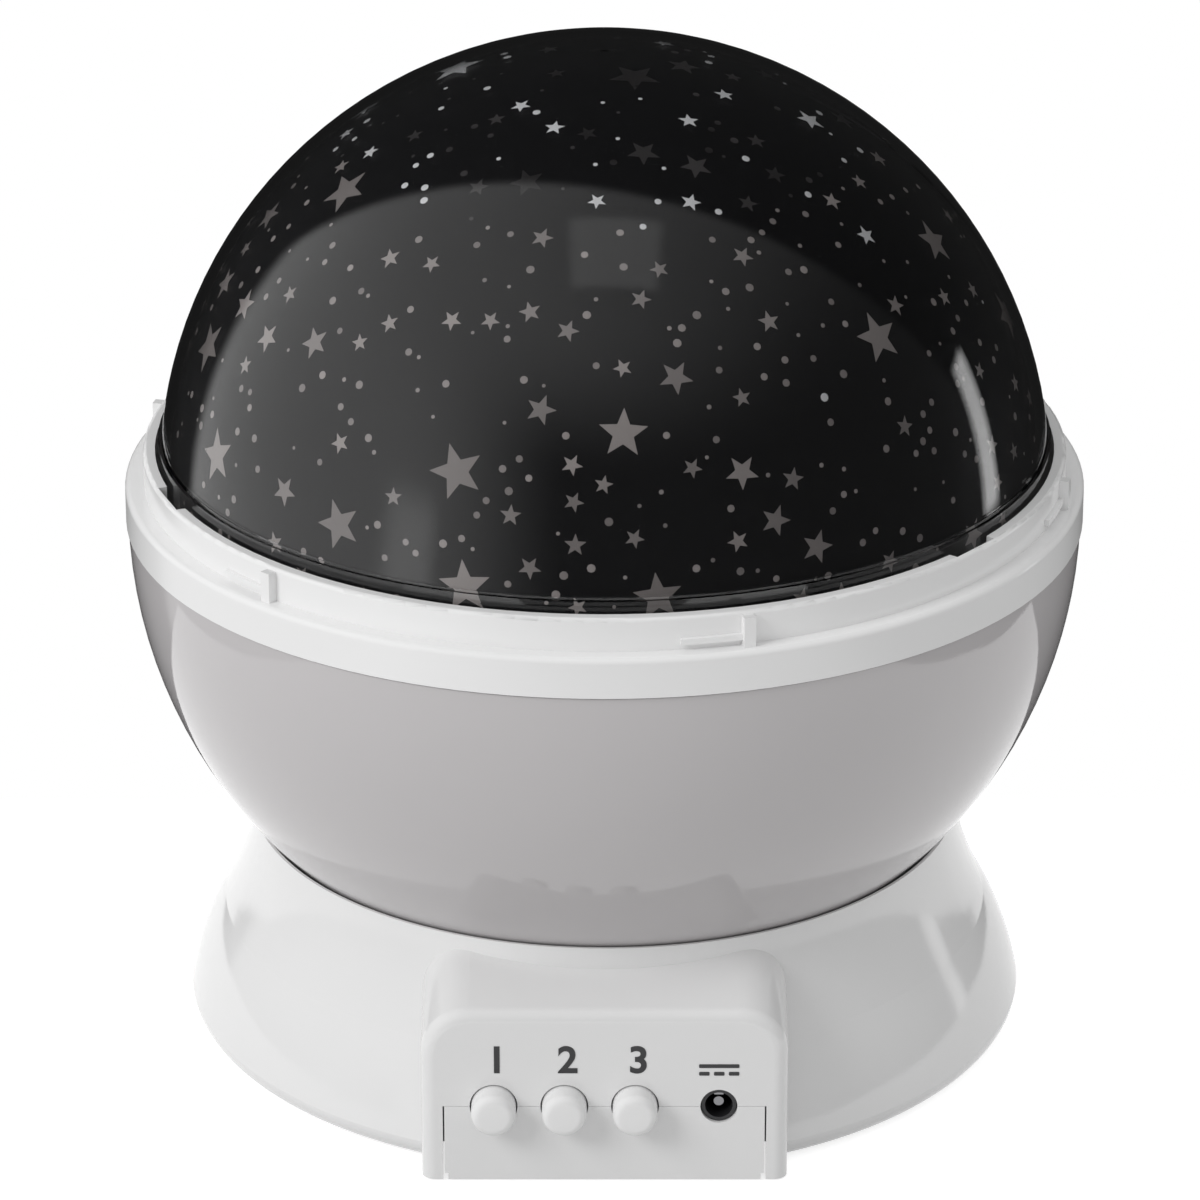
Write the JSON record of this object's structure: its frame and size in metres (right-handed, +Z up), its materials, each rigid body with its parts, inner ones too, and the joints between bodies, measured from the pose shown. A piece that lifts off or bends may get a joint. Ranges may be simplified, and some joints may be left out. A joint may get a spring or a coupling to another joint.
{
  "type": "planetarium projector",
  "caption": "Table-top star projector: a dark domed star film in a collared bowl that turns on a flared base with push buttons and a DC inlet.",
  "frame": {"origin": "on the spin axis at the floor, under the middle of the base", "axes": "+Z up along the spin axis, -Y out of the button panel, +X to the right seen from the front"},
  "size_m": [0.128, 0.128, 0.1357],
  "materials": {
    "white_gloss": "moulded white ABS, glossy",
    "ring_white": "moulded white ABS, glossy",
    "bowl_grey": "moulded warm grey ABS, glossy",
    "clear_plastic": "clear moulded polycarbonate",
    "printed_film": "black printed film with clear stars",
    "button_white": "moulded white ABS, glossy",
    "nylon": "natural acetal, satin",
    "black_plastic": "black moulded plastic, matt",
    "board_green": "glass epoxy board, solder mask",
    "steel": "zinc plated steel",
    "spring_steel": "nickel plated spring steel",
    "rubber_foot": "soft rubber, matt",
    "cell_wrap": "printed steel can with a plain dark sleeve",
    "wire_red": "PVC insulation",
    "wire_grey": "PVC insulation",
    "lamp_clear": "clear epoxy lamp"
  },
  "bodies": {
    "base": {"base_shell": "white_gloss", "bottom_cover": "white_gloss", "cover_screws": "steel", "foot_1": "rubber_foot", "foot_2": "rubber_foot", "foot_3": "rubber_foot", "foot_4": "rubber_foot", "battery_1": "cell_wrap", "battery_2": "cell_wrap", "battery_3": "cell_wrap", "battery_4": "cell_wrap", "battery_contacts_left": "spring_steel", "battery_contacts_right": "spring_steel", "circuit_board": "board_green", "control_chip": "black_plastic", "push_switch_1": "black_plastic", "push_switch_2": "black_plastic", "push_switch_3": "black_plastic", "dc_socket": "black_plastic", "dc_socket_pin": "spring_steel", "dc_socket_contact": "spring_steel", "thrust_washer": "nylon", "gear_axle_1": "steel", "gear_axle_2": "steel", "motor": "steel", "motor_screws": "steel", "gear_plate": "black_plastic", "plate_screws": "steel", "light_post": "black_plastic", "post_screws": "steel", "lamp_board": "board_green", "lamp_1": "lamp_clear", "lamp_2": "lamp_clear", "lamp_3": "lamp_clear", "lamp_4": "lamp_clear", "lamp_cable": "wire_grey", "battery_lead_1": "wire_red", "battery_lead_2": "wire_grey", "motor_leads": "wire_grey"},
    "bowl": {"bowl_shell": "bowl_grey", "collar_ring": "ring_white", "bowl_gear": "nylon", "hub_screws": "steel"},
    "dome": {"dome_shell": "clear_plastic", "star_film": "printed_film"},
    "door": {"battery_door": "white_gloss"},
    "button_1": {"button_cap_1": "button_white", "switch_plunger_1": "black_plastic"},
    "button_2": {"button_cap_2": "button_white", "switch_plunger_2": "black_plastic"},
    "button_3": {"button_cap_3": "button_white", "switch_plunger_3": "black_plastic"},
    "first_wheel": {"reduction_gear_1": "nylon"},
    "second_wheel": {"reduction_gear_2": "nylon"},
    "rotor": {"motor_shaft": "steel", "motor_pinion": "nylon"}
  },
  "joints": [
    {"name": "bowl_spin", "type": "hinge", "parent": "base", "child": "bowl", "pos_m": [0, 0, 0.025], "axis": [0, 0, 1], "continuous": true},
    {"name": "dome_twist", "type": "hinge", "parent": "bowl", "child": "dome", "pos_m": [0, 0, 0.0753], "axis": [0, 0, 1], "range_deg": [0, 14]},
    {"name": "battery_door_swing", "type": "hinge", "parent": "base", "child": "door", "pos_m": [0, -0.00365, 0.00195], "axis": [-1, 0, 0], "range_deg": [0, 75]},
    {"name": "button_1_press", "type": "slide", "parent": "base", "child": "button_1", "axis": [0, 1, 0], "range_m": [0, 0.0015], "stiffness_N_per_m": 400},
    {"name": "button_2_press", "type": "slide", "parent": "base", "child": "button_2", "axis": [0, 1, 0], "range_m": [0, 0.0015], "stiffness_N_per_m": 400},
    {"name": "button_3_press", "type": "slide", "parent": "base", "child": "button_3", "axis": [0, 1, 0], "range_m": [0, 0.0015], "stiffness_N_per_m": 400},
    {"name": "second_wheel_spin", "type": "hinge", "parent": "base", "child": "second_wheel", "pos_m": [0.0034, -0.0193, 0.019], "axis": [0, 0, 1], "continuous": true},
    {"name": "first_wheel_spin", "type": "hinge", "parent": "base", "child": "first_wheel", "pos_m": [-0.00681, -0.02751, 0.016], "axis": [0, 0, 1], "continuous": true},
    {"name": "rotor_spin", "type": "hinge", "parent": "base", "child": "rotor", "pos_m": [-0.01988, -0.02832, 0.015], "axis": [0, 0, 1], "continuous": true}
  ],
  "couplings": [
    {"joint": "second_wheel_spin", "follows": "bowl_spin", "ratio": -5.5},
    {"joint": "first_wheel_spin", "follows": "bowl_spin", "ratio": 18.333},
    {"joint": "rotor_spin", "follows": "bowl_spin", "ratio": -61.111}
  ]
}
